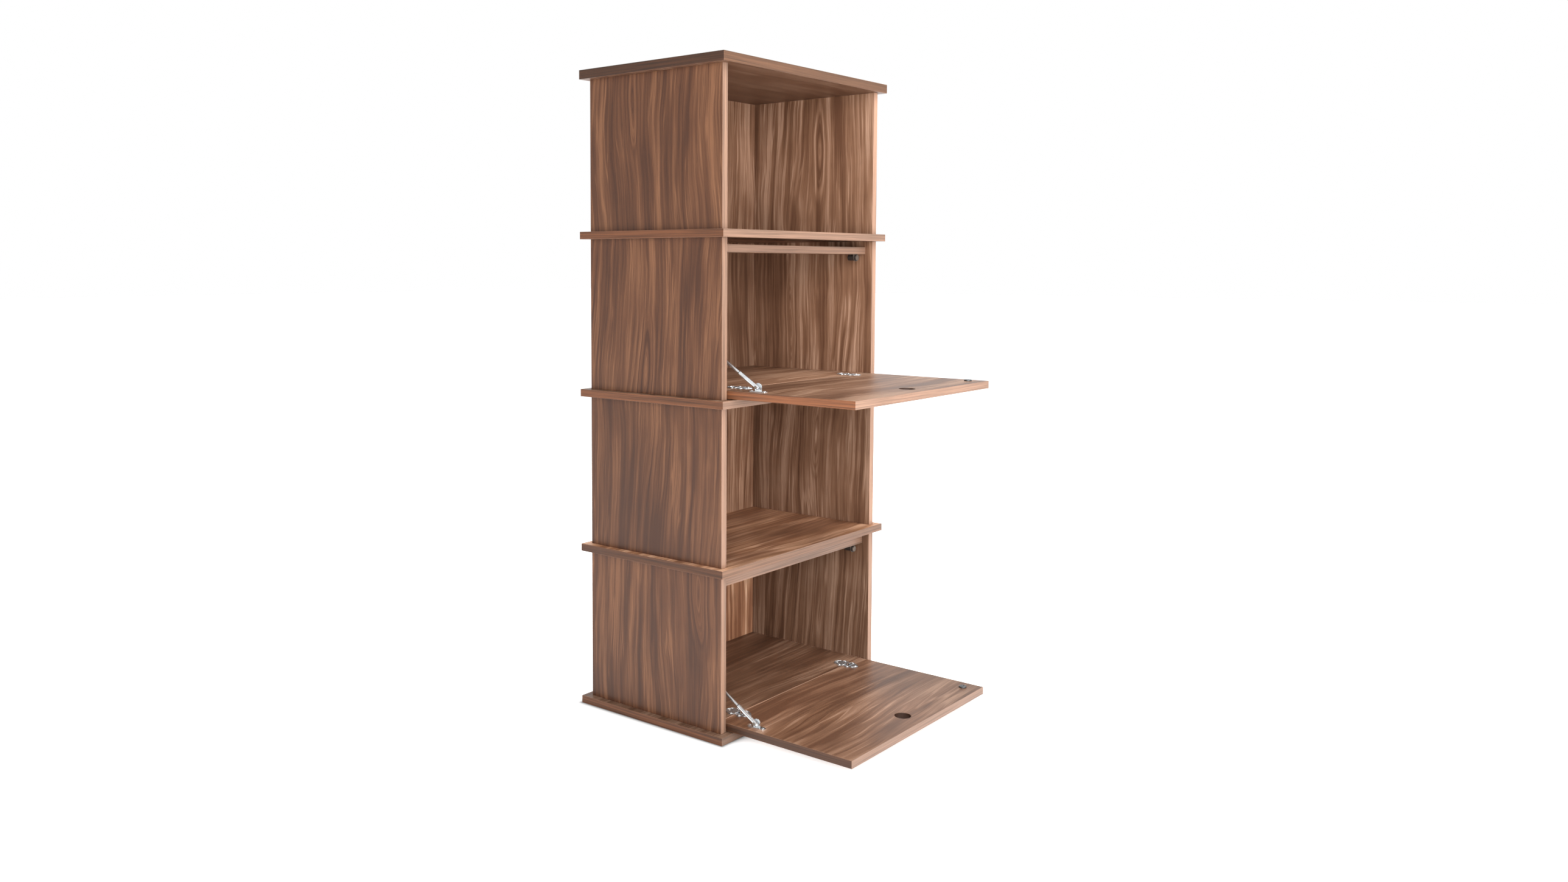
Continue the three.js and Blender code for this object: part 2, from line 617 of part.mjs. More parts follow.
// An angle: a foot under the head rail, and a tapered plate that holds the case by its neck.
function catchBracket(name) {
  const front = CATCH_TIP_Y + POLE_LENGTH + CASE_FLANGE_LENGTH + CATCH_PLATE.flangeGap;
  const back = front + CATCH_PLATE.thickness;
  const shoulder = HEAD_UNDERSIDE - CATCH_PLATE.shoulder;
  const foot = box(
    CATCH_X - CATCH_PLATE.halfWidth, CATCH_X + CATCH_PLATE.halfWidth,
    front, front + CATCH_PLATE.footLength,
    HEAD_UNDERSIDE - CATCH_PLATE.thickness, HEAD_UNDERSIDE,
  );
  const outline = new THREE.Shape();
  outline.moveTo(CATCH_PLATE.halfWidth, HEAD_UNDERSIDE);
  outline.lineTo(-CATCH_PLATE.halfWidth, HEAD_UNDERSIDE);
  outline.lineTo(-CATCH_PLATE.halfWidth, shoulder);
  outline.lineTo(-CATCH_PLATE.ringRadius, CATCH_Z);
  outline.absarc(0, CATCH_Z, CATCH_PLATE.ringRadius, Math.PI, 2 * Math.PI, false);
  outline.lineTo(CATCH_PLATE.halfWidth, shoulder);
  outline.closePath();
  const plate = extrudeY(outline, CATCH_X, front, back);
  const hole = cylinderY(
    CATCH_PLATE.holeRadius, CATCH_X, front - OVERCUT, back + OVERCUT, CATCH_Z, FINE,
  );
  return part(name, cut(joined(foot, plate), hole), nickel);
}

// A chamfered disc with a countersunk screw hole, which lies on the door where the magnet meets it.
function strikePlate(name) {
  const profile = [
    [STRIKE_HOLE_RADIUS, 0],
    [STRIKE_RADIUS, 0],
    [STRIKE_RADIUS, STRIKE_THICKNESS - STRIKE_CHAMFER],
    [STRIKE_RADIUS - STRIKE_CHAMFER, STRIKE_THICKNESS],
    [STRIKE_SINK_RADIUS, STRIKE_THICKNESS],
    [STRIKE_HOLE_RADIUS, STRIKE_THICKNESS - STRIKE_SINK_DEPTH],
    [STRIKE_HOLE_RADIUS, 0],
  ].map(([radius, height]) => new THREE.Vector2(radius, height));
  const geometry = new THREE.LatheGeometry(profile, FINE);
  geometry.rotateX(Math.PI / 2);
  geometry.translate(CATCH_X, DOOR_FREE_EDGE + STRIKE_INSET, FLOOR_THICKNESS);
  return part(name, geometryOf(outwardSolid(geometry)), darkSteel);
}

// ---------------------------------------------------------------- assembly

function doorBay(prefix) {
  return [
    floorPanel(prefix),
    headRail(prefix),
    door(prefix),
    ...flapHinge(`${prefix}_left_hinge`, -HINGE_X),
    ...flapHinge(`${prefix}_right_hinge`, HINGE_X),
    stayRail(`${prefix}_stay_rail`),
    stayBracket(`${prefix}_stay_bracket`),
    stayRivet(`${prefix}_stay_rivet`),
    stayArm(prefix),
    catchBracket(`${prefix}_catch_bracket`),
    catchCase(`${prefix}_catch_case`),
    magnetPole(`${prefix}_catch_pole`),
    strikePlate(`${prefix}_strike_plate`),
  ];
}

const unit = new THREE.Group();
unit.add(board('base_board', 0, BOARD_THICKNESS));
for (let bay = 1; bay <= BAY_COUNT; bay += 1) {
  const group = new THREE.Group();
  const hasDoor = bay % 2 === 1;
  group.position.z = BOARD_THICKNESS + (bay - 1) * BAY_PITCH;
  group.add(...baySides(`bay${bay}`));
  if (hasDoor) group.add(...doorBay(`bay${bay}`));
  unit.add(group);
  const boardUnderside = group.position.z + PANEL_HEIGHT;
  const isTop = bay === BAY_COUNT;
  unit.add(board(
    isTop ? 'top_board' : `shelf_${bay}`,
    boardUnderside,
    isTop ? TOP_THICKNESS : BOARD_THICKNESS,
  ));
}

export default unit;
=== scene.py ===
"""Looks of the cube storage unit: walnut veneer, bright metal fittings, studio and camera.

Everything is in metres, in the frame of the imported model: +X to the right when facing the
unit, +Y to the back, +Z up, origin at the centre of the base board's underside.
"""

import json
import math
import random

import bmesh
import bpy
from mathutils import Matrix, Vector


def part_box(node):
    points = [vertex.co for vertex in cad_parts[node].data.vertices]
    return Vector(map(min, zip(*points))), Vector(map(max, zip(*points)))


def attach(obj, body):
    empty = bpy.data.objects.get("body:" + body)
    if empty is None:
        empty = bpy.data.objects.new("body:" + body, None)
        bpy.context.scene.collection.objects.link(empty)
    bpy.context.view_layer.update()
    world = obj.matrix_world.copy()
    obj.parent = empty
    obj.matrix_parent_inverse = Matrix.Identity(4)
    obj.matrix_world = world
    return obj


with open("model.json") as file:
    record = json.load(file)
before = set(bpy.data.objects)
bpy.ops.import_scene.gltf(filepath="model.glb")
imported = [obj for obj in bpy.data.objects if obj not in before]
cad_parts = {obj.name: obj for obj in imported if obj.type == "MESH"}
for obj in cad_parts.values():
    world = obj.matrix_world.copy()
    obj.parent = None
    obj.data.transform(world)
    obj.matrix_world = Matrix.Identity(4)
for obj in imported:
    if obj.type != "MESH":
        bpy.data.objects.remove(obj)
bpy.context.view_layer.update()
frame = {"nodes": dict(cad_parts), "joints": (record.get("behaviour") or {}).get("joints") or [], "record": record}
nodes = frame["nodes"]

MM = 0.001

# ------------------------------------------------------------------ driving values

# Colours as seen, in the usual screen scale from 0 to 255.
WALNUT_DARK = (82, 51, 35)
WALNUT_MID = (112, 75, 54)
WALNUT_LIGHT = (154, 114, 90)
WALNUT_GOLD = (140, 120, 92)
WALNUT_PORE = (62, 38, 26)
BANDING = (172, 134, 111)

# The side and back panels' outer faces are painted a little browner than the faces inside the
# bays, and those inside paler and greyer: painted light, as the faces in the bays light each
# other. The banding on the ends of the boards is browner too, partly its own colour and partly
# painted shade, as the ends facing sideways get less light than the fronts.
NO_TINT = (1.0, 1.0, 1.0)
OUTER_TINT = (1.0, 0.915, 0.80)
INNER_TINT = (0.96, 1.05, 1.12)
END_TINT = (1.03, 0.94, 0.82)

# The bays with a door, and the word that the bodies and joints of each are named after.
DOOR_BAYS = {"bay1": "lower", "bay3": "upper"}


def linear(rgb):
    """A screen colour from 0 to 255 as the linear colour a shader takes."""
    out = []
    for channel in rgb:
        c = channel / 255
        out.append(c / 12.92 if c <= 0.04045 else ((c + 0.055) / 1.055) ** 2.4)
    return (*out, 1.0)


def shade(rgb, tone, tint=NO_TINT):
    """A screen colour made lighter or darker, as a shader takes it."""
    return linear(tuple(min(255, c * tone * part) for c, part in zip(rgb, tint)))


# ------------------------------------------------------------------ shader helpers


class Shader:
    """A material's node tree, with one short method for each kind of node that the script uses."""

    def __init__(self, name):
        self.material = bpy.data.materials.new(name)
        self.material.use_nodes = True
        self.tree = self.material.node_tree
        self.surface = self.tree.nodes["Principled BSDF"]

    def node(self, kind, **settings):
        made = self.tree.nodes.new(kind)
        for key, value in settings.items():
            setattr(made, key, value)
        return made

    def put(self, value, socket):
        """Sets a socket to a constant, or links it to another socket."""
        if isinstance(value, bpy.types.NodeSocket):
            self.tree.links.new(value, socket)
        else:
            socket.default_value = value

    def math(self, operation, a, b=0.0):
        made = self.node("ShaderNodeMath", operation=operation)
        self.put(a, made.inputs[0])
        self.put(b, made.inputs[1])
        return made.outputs[0]

    def plus(self, first, *others):
        """The sum of all the values, added up from left to right."""
        for other in others:
            first = self.math("ADD", first, other)
        return first

    def minus(self, a, b):
        return self.math("SUBTRACT", a, b)

    def times(self, a, b):
        return self.math("MULTIPLY", a, b)

    def absolute(self, a):
        return self.math("ABSOLUTE", a)

    def larger(self, a, b):
        return self.math("MAXIMUM", a, b)

    def length(self, a, b):
        """How long the flat vector (a, b) is."""
        return self.math("SQRT", self.plus(self.times(a, a), self.times(b, b)))

    def combine(self, x, y, z):
        made = self.node("ShaderNodeCombineXYZ")
        for value, socket in zip((x, y, z), made.inputs):
            self.put(value, socket)
        return made.outputs[0]

    def separate(self, vector):
        made = self.node("ShaderNodeSeparateXYZ")
        self.put(vector, made.inputs[0])
        return made.outputs

    def noise(self, vector, scale, detail, roughness=0.5):
        made = self.node("ShaderNodeTexNoise")
        self.put(vector, made.inputs["Vector"])
        made.inputs["Scale"].default_value = scale
        made.inputs["Detail"].default_value = detail
        made.inputs["Roughness"].default_value = roughness
        return made.outputs["Fac"]

    def flat_noise(self, place, detail, roughness=0.5):
        """Noise over two coordinates, which are already at the scale of its patches."""
        made = self.node("ShaderNodeTexNoise", noise_dimensions="2D")
        self.put(place, made.inputs["Vector"])
        made.inputs["Scale"].default_value = 1.0
        made.inputs["Detail"].default_value = detail
        made.inputs["Roughness"].default_value = roughness
        return made.outputs["Fac"]

    def noise_along(self, value, scale, detail, roughness):
        """Noise over one coordinate."""
        made = self.node("ShaderNodeTexNoise", noise_dimensions="1D")
        self.put(value, made.inputs["W"])
        made.inputs["Scale"].default_value = scale
        made.inputs["Detail"].default_value = detail
        made.inputs["Roughness"].default_value = roughness
        return made.outputs["Fac"]

    def remap(self, value, low, high, to_low=0.0, to_high=1.0):
        """Eases from to_low to to_high while the value goes from low to high."""
        made = self.node("ShaderNodeMapRange", interpolation_type="SMOOTHSTEP")
        self.put(value, made.inputs["Value"])
        made.inputs["From Min"].default_value = low
        made.inputs["From Max"].default_value = high
        made.inputs["To Min"].default_value = to_low
        made.inputs["To Max"].default_value = to_high
        return made.outputs["Result"]

    def remap_straight(self, value, low, high):
        made = self.node("ShaderNodeMapRange")
        self.put(value, made.inputs["Value"])
        made.inputs["From Min"].default_value = low
        made.inputs["From Max"].default_value = high
        return made.outputs["Result"]

    def ramp(self, value, stops):
        made = self.node("ShaderNodeValToRGB")
        self.put(value, made.inputs[0])
        elements = made.color_ramp.elements
        for index, (place, colour) in enumerate(stops):
            element = elements[index] if index < 2 else elements.new(place)
            element.position = place
            element.color = colour
        return made.outputs["Color"]

    def mix(self, factor, a, b, blend="MIX"):
        made = self.node("ShaderNodeMix", data_type="RGBA", blend_type=blend)
        self.put(factor, made.inputs["Factor"])
        self.put(a, made.inputs[6])
        self.put(b, made.inputs[7])
        return made.outputs[2]

    def bump(self, height, distance, strength):
        made = self.node("ShaderNodeBump")
        made.inputs["Strength"].default_value = strength
        made.inputs["Distance"].default_value = distance
        self.put(height, made.inputs["Height"])
        self.put(made.outputs["Normal"], self.surface.inputs["Normal"])

    def set(self, **sockets):
        for name, value in sockets.items():
            self.put(value, self.surface.inputs[name.replace("_", " ")])


# ------------------------------------------------------------------ walnut: its figure

AXES = {"X": 0, "Y": 1, "Z": 2}

# The layers of noise in the figure: patches a metre across and along the grain, and how much
# finer detail each one holds.
LONG_BENDS = dict(across=5.0, along=2.0, detail=0.0)
SHORT_BENDS = dict(across=26.0, along=7.5, detail=1.0)
BROAD_BANDS = dict(across=30.0, along=1.3, detail=1.0)
STREAKS = dict(across=120.0, along=2.6, detail=2.0, roughness=0.6)
FINE_FIBRES = dict(across=520.0, along=6.0, detail=1.0)
CLOUDS = dict(across=8.0, along=3.6, detail=2.0, roughness=0.55)
VEINS = dict(across=75.0, along=2.0, detail=1.0)

# How far the fibres wander to each side in their long and short bends, in metres.
LONG_WANDER = 0.055
SHORT_WANDER = 0.009

# Pale veins run where their noise is within this of its middle, in the lighter clouds.
VEIN_HALF_WIDTH = 0.05
VEIN_CLOUDS = (0.36, 0.56)

# How much each layer counts, and the sums at which the veneer is darkest and lightest.
BROAD_SHARE = 0.68
STREAK_SHARE = 0.68
FINE_SHARE = 0.26
CLOUD_SHARE = 0.5
VEIN_SHARE = 0.2
FIGURE_RANGE = (0.83, 1.37)

# A cathedral's arches: how slowly they spread along the grain, arches a metre, their light and
# dark, and the distances from its middle over which it fades out across and along the grain.
ARCH_SLOPE = 0.11
ARCHES_PER_METRE = 150.0
ARCH_CONTRAST = 1.7
ARCH_LIFT = 0.2
ARCH_FADE_ACROSS = (0.012, 0.05)
ARCH_FADE_ALONG = (0.06, 0.17)

# Each panel is cut from its own place in the noise, up to this far from the start.
LARGEST_SHIFT = 30
SHIFTS = 8


class VeneerShader(Shader):
    """A shader that knows how the grain runs through its panel."""

    def __init__(self, name, grain, thin, seed):
        """grain and thin are the axes along the grain and through the panel."""
        super().__init__(name)
        coordinates = self.node("ShaderNodeTexCoord")
        self.xyz = self.separate(coordinates.outputs["Object"])
        self.normal = self.separate(coordinates.outputs["Normal"])
        across = ({"X", "Y", "Z"} - {grain, thin}).pop()
        self.along = self.xyz[AXES[grain]]
        self.side = self.xyz[AXES[across]]
        self.thin = AXES[thin]
        draws = random.Random(seed)
        self.shift = [draws.uniform(-LARGEST_SHIFT, LARGEST_SHIFT) for _ in range(SHIFTS)]


def figure_of(s, cathedral, density):
    """The light and dark of walnut veneer from 0 to 1, its fibres' coordinate and its clouds.

    The fibres run along the grain and wander a little to each side, so that streaks bend, close
    up and open out. density is how closely they lie. A cathedral is (place across, place along,
    strength): the pointed arches where the cut runs nearest the heart of the tree.
    """
    def layer(sideways, k, pattern, closeness=1.0):
        place = s.combine(
            s.plus(s.times(sideways, pattern["across"] * closeness), s.shift[k]),
            s.plus(s.times(s.along, pattern["along"]), s.shift[k + 1]), 0.0)
        return s.flat_noise(place, pattern["detail"], pattern.get("roughness", 0.5))

    def centred(value, amount):
        return s.times(s.minus(value, 0.5), amount)

    long_bends = centred(layer(s.side, 0, LONG_BENDS), LONG_WANDER)
    short_bends = centred(layer(s.side, 1, SHORT_BENDS), SHORT_WANDER)
    fibre = s.plus(s.side, s.plus(long_bends, short_bends))

    broad = layer(fibre, 2, BROAD_BANDS, density)
    streaks = layer(fibre, 3, STREAKS, density)
    fine = layer(fibre, 4, FINE_FIBRES)
    clouds = layer(s.side, 5, CLOUDS)
    veins = s.absolute(s.minus(layer(fibre, 6, VEINS, density), 0.5))
    veins = s.times(s.remap(veins, 0.0, VEIN_HALF_WIDTH, 1.0, 0.0), s.remap(clouds, *VEIN_CLOUDS))

    value = s.plus(
        s.times(broad, BROAD_SHARE),
        s.times(streaks, STREAK_SHARE),
        s.times(fine, FINE_SHARE),
        s.times(clouds, CLOUD_SHARE),
        s.times(veins, VEIN_SHARE))
    if cathedral:
        value = add_cathedral(s, value, fibre, cathedral)
    return s.remap_straight(value, *FIGURE_RANGE), fibre, clouds


def add_cathedral(s, value, fibre, cathedral):
    """Puts pointed arches round one place on the panel, instead of the straight figure there."""
    across_place, along_place, strength = cathedral
    off = s.minus(fibre, across_place)
    run = s.minus(s.along, along_place)
    from_heart = s.length(off, s.times(run, ARCH_SLOPE))
    arches = s.noise_along(s.plus(from_heart, s.shift[7]), ARCHES_PER_METRE, 2.0, 0.6)
    arches = s.plus(s.times(arches, ARCH_CONTRAST), ARCH_LIFT)
    near = s.times(
        s.remap(s.absolute(off), *ARCH_FADE_ACROSS, 1.0, 0.0),
        s.remap(s.absolute(run), *ARCH_FADE_ALONG, 1.0, 0.0))
    return s.plus(value, s.times(s.times(near, strength), s.minus(arches, value)))


# ------------------------------------------------------------------ walnut: its colours

# A surface faces a way more and more as its normal's part that way goes between these.
FACING_AXIS = (0.6, 0.8)
FACING_INWARDS = (0.4, 0.6)
FACING_UP = (0.7, 0.9)
FACING_DOWN = (-0.9, -0.7)

# The lighter clouds are a little golden: the clouds between which that sets in, and how strongly.
GOLD_CLOUDS = (0.36, 0.64)
GOLD_STRENGTH = 0.22

# Open pores are short dark dashes: dashes a metre across and along the grain, the noise between
# which they set in, and how dark they are.
PORES_ACROSS = 1100.0
PORES_ALONG = 24.0
PORE_RANGE = (0.58, 0.74)
PORE_STRENGTH = 0.3

# How much of their own colour the lower faces keep under their painted shade.
UNDERSIDE_FIGURE = 0.7

# The banding's grain: lines a metre through the panel, fine and coarse, and the share of that
# along the edge, which makes the lines long. Then the noise at which it is darkest and lightest.
BANDING_FINE = 620.0
BANDING_COARSE = 230.0
BANDING_STRETCH = 0.012
BANDING_RANGE = (0.36, 0.6)

# The thin pale line on a face where the banding's own thickness shows fades out over this.
# On the boards inside the bays it is partly a painted highlight along the rear and side edges.
LINE_FADE = (0.8 * MM, 1.4 * MM)
LINE_STRENGTH = 0.45

# A finger hole's wall is bare, dark board up to this far from the hole's middle.
HOLE_FADE = (24 * MM, 25 * MM)
HOLE_WALL_TONE = 0.62

# Rounded arrises, where the largest part of the normal drops below these, get a painted
# highlight this pale, as if they caught the light.
ARRIS_RANGE = (0.86, 0.97)
ARRIS_HIGHLIGHT = 0.4


def toned(s, level, lightness, tint):
    """The veneer's brown at each level of its figure."""
    return s.ramp(level, [
        (0.0, shade(WALNUT_DARK, lightness, tint)),
        (1.0, shade(WALNUT_LIGHT, lightness, tint)),
        (0.45, shade(WALNUT_MID, lightness, tint)),
    ])


def face_colour(s, level, clouds, tone, inner):
    """The colour of a panel's two faces, before its pores, with the painted light of the faces inside the bays."""
    face = toned(s, level, tone, INNER_TINT if inner is None else OUTER_TINT)
    if inner is not None:
        sign, inner_tone = inner
        inwards = s.remap(s.times(s.normal[s.thin], sign), *FACING_INWARDS)
        face = s.mix(inwards, face, toned(s, level, inner_tone, INNER_TINT))
    gold = s.remap(clouds, *GOLD_CLOUDS, 0.0, GOLD_STRENGTH)
    return s.mix(gold, face, shade(WALNUT_GOLD, tone), "SOFT_LIGHT")


def pores_of(s, fibre):
    """1 in the veneer's open pores and 0 between them."""
    place = s.combine(
        s.times(fibre, PORES_ACROSS),
        s.times(s.plus(s.along, s.shift[2]), PORES_ALONG), 0.0)
    return s.remap(s.flat_noise(place, 1.0, 0.6), *PORE_RANGE)


def paint_light_fade(s, face, axis, start, stop, first, last):
    """Paints light and shade on the upper face along an axis: its lightness goes from first at start to last at
    stop.
    """
    amount = s.remap(s.xyz[AXES[axis]], start, stop, first, last)
    upwards = s.remap(s.normal[2], *FACING_UP)
    amount = s.mix(upwards, (1, 1, 1, 1), s.combine(amount, amount, amount))
    return s.mix(1.0, face, amount, "MULTIPLY")


# Painted shade on the lower faces: mixed towards dark walnut at the lightness given.
def shade_the_underside(s, face, tone):
    downwards = s.remap(s.normal[2], *FACING_DOWN, 1.0, 0.0)
    return s.mix(downwards, face, s.mix(UNDERSIDE_FIGURE, shade(WALNUT_DARK, tone), face))


def banding_colours(s, front, end, front_tint):
    """Straight fine grain along the edges: pale for the front and back, brown for the ends.
    Each is partly the banding's own colour and partly painted light and shade for the way the edge faces.
    """
    def edge_grain(scale, detail):
        stretch = [scale * BANDING_STRETCH] * 3
        stretch[s.thin] = scale
        spots = [s.times(s.plus(s.xyz[i], s.shift[i]), stretch[i]) for i in range(3)]
        return s.noise(s.combine(*spots), 1.0, detail, 0.6)

    grain = s.plus(
        s.times(edge_grain(BANDING_FINE, 2.0), 0.5),
        s.times(edge_grain(BANDING_COARSE, 1.0), 0.5))
    darkest, lightest = BANDING_RANGE
    pale = s.ramp(grain, [
        (darkest, shade(BANDING, front * 0.8, front_tint)),
        (lightest, shade(BANDING, front * 1.1, front_tint)),
    ])
    brown = s.ramp(grain, [
        (darkest, shade(WALNUT_MID, end * 0.76, END_TINT)),
        (lightest, shade(WALNUT_MID, end * 1.26, END_TINT)),
    ])
    return pale, brown


def arris_highlight_of(s):
    """How much painted highlight each place gets: the full amount on the rounded arrises and 0 on flat surfaces.
    """
    steepest = s.larger(
        s.absolute(s.normal[0]),
        s.larger(s.absolute(s.normal[1]), s.absolute(s.normal[2])))
    return s.remap(steepest, *ARRIS_RANGE, ARRIS_HIGHLIGHT, 0.0)


def walnut(name, grain, thin, seed, tone=1.0, front=1.0, end=1.0, lines=(), cathedral=None,
           density=1.0, inner=None, under=None, hole=None, painted_light_fades=(), front_tint=NO_TINT):
    """Walnut veneer on a panel, with banding on its narrow edges.

    grain and thin are the axes along the grain and through the panel. tone is the faces'
    lightness, front the pale banding's on the edges across Y, with its front_tint, and end the
    brown banding's on the edges across X; both are partly the banding's colours and partly painted
    light and shade. cathedral and density are those of figure_of. inner is (sign, tone) for the
    face towards that end of the thin axis, where it differs from the other one: painted light on
    the faces inside the bays. lines are (axis, limit, sign) places where the banding's own
    thickness shows on the face, on the boards inside the bays partly as a painted highlight.
    under is the lightness of the painted shade on the lower face, hole the middle of a hole whose
    wall is bare, dark board, and fades the axis, start, stop, first and last of each fade of
    painted light and shade on the upper face.
    """
    s = VeneerShader(name, grain, thin, seed)
    level, fibre, clouds = figure_of(s, cathedral, density)
    pores = pores_of(s, fibre)
    pale, brown = banding_colours(s, front, end, front_tint)

    face = face_colour(s, level, clouds, tone, inner)
    face = s.mix(s.times(pores, PORE_STRENGTH), face, shade(WALNUT_PORE, tone))
    for values in painted_light_fades:
        face = paint_light_fade(s, face, *values)
    if under is not None:
        face = shade_the_underside(s, face, under)
    for axis, limit, sign in lines:
        inside = s.times(s.minus(s.xyz[AXES[axis]], limit), sign)
        face = s.mix(s.remap(inside, *LINE_FADE, LINE_STRENGTH, 0.0), face, pale)

    edge = pale
    if thin != "X":
        sideways = s.remap(s.absolute(s.normal[0]), *FACING_AXIS)
        edge = s.mix(sideways, pale, brown)
    bare = 0.0
    if hole is not None:
        from_middle = s.length(s.minus(s.xyz[0], hole[0]), s.minus(s.xyz[1], hole[1]))
        bare = s.remap(from_middle, *HOLE_FADE, 1.0, 0.0)
        edge = s.mix(bare, edge, shade(WALNUT_DARK, HOLE_WALL_TONE))

    is_face = s.remap(s.absolute(s.normal[s.thin]), *FACING_AXIS)
    colour = s.mix(is_face, edge, face)
    # A painted highlight on the rounded arrises, except round a bare hole.
    painted_highlight = s.times(arris_highlight_of(s), s.minus(1.0, bare))
    colour = s.mix(painted_highlight, colour, shade(BANDING, 0.5 + 0.5 * min(front, 1.0)))

    s.set(Base_Color=colour, Roughness=s.plus(s.times(level, 0.08), 0.38))
    s.surface.inputs["Specular IOR Level"].default_value = 0.3
    s.bump(s.minus(s.times(level, 0.3), pores), 0.12 * MM, 0.35)
    return s.material


# ------------------------------------------------------------------ metals and plastics


def metal(name, colour, roughness, scratch, metallic):
    """Plated steel with faint wiping marks and a slightly uneven polish."""
    s = Shader(name)
    place = s.node("ShaderNodeTexCoord").outputs["Object"]
    marks = s.noise(place, 2600.0, 3.0, 0.6)
    uneven = s.noise(place, 140.0, 2.0)
    value = s.plus(s.times(marks, scratch), s.times(uneven, 0.06))
    s.set(Roughness=s.plus(value, roughness))
    tint = s.ramp(uneven, [
        (0.3, linear(tuple(c * 0.93 for c in colour))),
        (0.7, linear(colour)),
    ])
    s.set(Base_Color=tint, Metallic=metallic)
    s.bump(marks, 0.02 * MM, 0.25)
    return s.material


def plastic(name, colour, roughness):
    """Moulded plastic with a fine spark-eroded texture."""
    s = Shader(name)
    place = s.node("ShaderNodeTexCoord").outputs["Object"]
    grit = s.noise(place, 2400.0, 2.0, 0.6)
    patch = s.noise(place, 90.0, 2.0)
    tint = s.ramp(patch, [
        (0.3, linear(tuple(c * 0.85 for c in colour))),
        (0.7, linear(tuple(c * 1.1 for c in colour))),
    ])
    s.set(Base_Color=tint, Roughness=s.plus(s.times(grit, 0.16), roughness))
    s.bump(grit, 0.05 * MM, 0.3)
    return s.material


# Colour, roughness, how much the wiping marks add to it, and how metallic each one is.
CHROME = metal("polished_chrome", (226, 229, 231), 0.11, 0.05, 0.94)
# The hinge leaves' chrome is greyer and duller: painted reflection of the dark bays that the leaves mirror.
SHADED_CHROME = metal("shaded_chrome", (166, 170, 174), 0.2, 0.1, 0.78)
STRIKE_STEEL = metal("strike_steel", (98, 99, 100), 0.3, 0.1, 0.85)
# The dull nickel is tinted brownish, partly a painted reflection of the walnut round the catch.
DULL_NICKEL = metal("dull_nickel_plate", (116, 104, 94), 0.36, 0.08, 0.8)
DARK_STEEL = metal("dark_plated_steel", (84, 88, 92), 0.3, 0.10, 0.9)
DARK_PLASTIC = plastic("dark_moulded_plastic", (40, 34, 31), 0.36)


# ------------------------------------------------------------------ dressing CAD parts

# Points closer than this are one point, and faces within this angle of each other are one face.
WELD_DISTANCE = 0.01 * MM
FLAT_WITHIN = math.radians(0.5)


def dress(node, material):
    mesh = nodes[node].data
    mesh.materials.clear()
    mesh.materials.append(material)


def ease_edges(node, width=0.6 * MM, segments=2, angle=40):
    """Rounds a CAD part's edges sharper than the angle a little, so that they catch the light."""
    part = nodes[node]
    weld = part.modifiers.new("weld", "WELD")
    weld.merge_threshold = WELD_DISTANCE
    flat = part.modifiers.new("flat", "DECIMATE")
    flat.decimate_type = "DISSOLVE"
    flat.angle_limit = FLAT_WITHIN
    bevel = part.modifiers.new("eased_edges", "BEVEL")
    bevel.width = width
    bevel.segments = segments
    bevel.limit_method = "ANGLE"
    bevel.angle_limit = math.radians(angle)
    bevel.harden_normals = False
    part.data.polygons.foreach_set("use_smooth", [False] * len(part.data.polygons))


# ------------------------------------------------------------------ wooden panels

# The lightness of each side panel's outer and inner faces, its front banding, and its arches.
# The inner faces are painted lighter than the outer ones: painted light inside the bays.
SIDE_PANELS = {
    "bay1_left_side": dict(tone=0.725, inner=(1, 1.0), front=0.8, cathedral=(-0.13, 0.33, 0.8)),
    "bay2_left_side": dict(tone=0.71, inner=(1, 1.1), front=0.84),
    "bay3_left_side": dict(tone=0.72, inner=(1, 1.1), front=0.78, cathedral=(0.03, 0.83, 0.9)),
    "bay4_left_side": dict(tone=0.71, inner=(1, 1.1), front=0.76, cathedral=(0.05, 1.46, 0.7)),
    "bay1_right_side": dict(tone=0.725, inner=(-1, 0.96), front=0.88),
    "bay2_right_side": dict(tone=0.71, inner=(-1, 1.08), front=0.92, cathedral=(-0.05, 0.62, 0.6)),
    "bay3_right_side": dict(tone=0.72, inner=(-1, 1.22), front=0.9, cathedral=(0.06, 0.92, 0.6)),
    "bay4_right_side": dict(tone=0.71, inner=(-1, 1.2), front=0.9, cathedral=(-0.02, 1.38, 0.6)),
}
# The lightness of each back panel's inner face, and of all their rear faces. The inner faces
# are painted lighter, the lowest bay's most: painted light deep in the bays.
BACK_PANELS = {"bay1": 1.82, "bay2": 1.3, "bay3": 1.2, "bay4": 1.25}
BACK_PANEL_REAR = 0.85

# The top board's front banding is browner than the others', and the lowest shelf's a little so.
TOP_FRONT_TINT = (1.0, 0.9, 0.79)
SHELF_FRONT_TINT = (1.01, 0.965, 0.92)
# The lightness of each board's face, its front banding and its end banding. The lowest shelf,
# the second bay's floor, is painted lighter: painted light. under is the painted shade below.
BOARDS = {
    "base_board": dict(tone=0.9, front=0.64, end=0.68),
    "shelf_1": dict(tone=1.5, front=0.68, end=0.54, density=0.7, under=1.4, front_tint=SHELF_FRONT_TINT),
    "shelf_2": dict(tone=1.0, front=0.72, end=0.7),
    "shelf_3": dict(tone=1.0, front=0.75, end=0.66, under=1.4),
    "top_board": dict(tone=0.9, front=0.52, end=0.42, under=1.3, front_tint=TOP_FRONT_TINT),
}
# The lower door's inner face is painted lighter near its hinges and darker to the right: painted
# light where the unit shades it and painted shade where light falls most. Each fade is an axis,
# where it starts and ends, and the lightness at those two places.
DOOR_PAINTED_LIGHT = (("Y", -0.35, -0.23, 1.0, 1.4), ("X", 0.0, 0.26, 1.0, 0.76))
